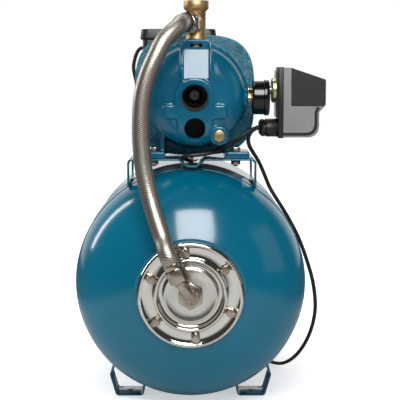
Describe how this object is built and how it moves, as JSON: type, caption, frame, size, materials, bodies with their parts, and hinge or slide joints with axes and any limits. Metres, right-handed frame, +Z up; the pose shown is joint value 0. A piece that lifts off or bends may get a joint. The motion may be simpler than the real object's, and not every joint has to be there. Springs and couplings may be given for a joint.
{
  "type": "booster pump set",
  "caption": "Electric jet pump on a horizontal blue pressure tank, with pressure gauge, pressure switch and braided hose.",
  "frame": {"origin": "on the floor under the middle of the set's footprint, without the loose cord", "axes": "+Z up, +Y from the pump's ports towards the motor, +X to the right of someone who faces the ports"},
  "size_m": [0.3896, 0.6185, 0.626],
  "materials": {
    "blue_paint": "gloss",
    "cast_blue": "painted, semi-gloss",
    "chrome": "mirror",
    "nickel": "plated, satin",
    "braid": "woven wire",
    "brass": "satin",
    "steel": "bright",
    "zinc": "yellow passivated",
    "rubber": "matt",
    "black_plastic": "satin",
    "brown_plastic": "matt",
    "white_plastic": "matt",
    "winding": "lacquered",
    "lens": "clear",
    "pointer": "satin"
  },
  "bodies": {
    "body": {"tank_shell": "blue_paint", "tank_membrane": "rubber", "tank_flange": "chrome", "flange_bolt_1": "nickel", "flange_bolt_2": "nickel", "flange_bolt_3": "nickel", "flange_bolt_4": "nickel", "flange_bolt_5": "nickel", "flange_bolt_6": "nickel", "tank_elbow": "nickel", "tank_foot_front_left": "blue_paint", "tank_foot_front_right": "blue_paint", "tank_foot_rear_left": "blue_paint", "tank_foot_rear_right": "blue_paint", "pump_platform": "blue_paint", "air_valve_stem": "brass", "air_valve_cap": "black_plastic", "hose": "braid", "hose_nut_lower": "nickel", "hose_nut_upper": "nickel", "brass_tee": "brass", "pump_casing": "cast_blue", "casing_gasket": "rubber", "pump_bracket": "cast_blue", "diffuser": "brown_plastic", "seal_seat": "white_plastic", "drain_plug": "brass", "foot_bolt_left": "steel", "foot_bolt_right": "steel", "gauge_stem": "brass", "gauge_case": "black_plastic", "gauge_lens": "lens", "switch_nipple": "brass", "switch_base": "zinc", "switch_cover": "black_plastic", "cable_gland_motor": "black_plastic", "cable_gland_mains": "black_plastic", "switch_spring": "steel", "motor_housing": "cast_blue", "stator": "winding", "bearing_front": "steel", "bearing_rear": "steel", "rear_end_shield": "cast_blue", "fan_cover": "black_plastic", "terminal_box": "black_plastic", "terminal_box_lid": "black_plastic", "capacitor": "white_plastic", "motor_lead": "rubber", "power_cord": "rubber", "cord_coil": "rubber", "mains_plug": "rubber"},
    "rotor": {"shaft": "steel", "impeller": "brown_plastic", "rotor_core": "steel", "fan": "black_plastic", "seal_rotary": "rubber"},
    "pointer": {"gauge_pointer": "pointer"},
    "rocker": {"switch_rocker": "steel"},
    "valve_pin": {"air_valve_pin": "steel"}
  },
  "joints": [
    {"name": "rotor_spin", "type": "hinge", "parent": "body", "child": "rotor", "pos_m": [-0.00723, -0.1073, 0.483], "axis": [0, 1, 0], "continuous": true},
    {"name": "gauge_pointer", "type": "hinge", "parent": "body", "child": "pointer", "pos_m": [0.10007, -0.1503, 0.48], "axis": [-1, 0, 0], "range_deg": [0, 270], "stiffness_Nm_per_rad": 0.002},
    {"name": "switch_rocker", "type": "hinge", "parent": "body", "child": "rocker", "pos_m": [0.13627, -0.1053, 0.51], "axis": [0, 1, 0], "range_deg": [0, 6], "stiffness_Nm_per_rad": 0.6},
    {"name": "air_valve_pin", "type": "slide", "parent": "body", "child": "valve_pin", "axis": [0, -1, 0], "range_m": [0, 0.0012], "stiffness_N_per_m": 300}
  ]
}
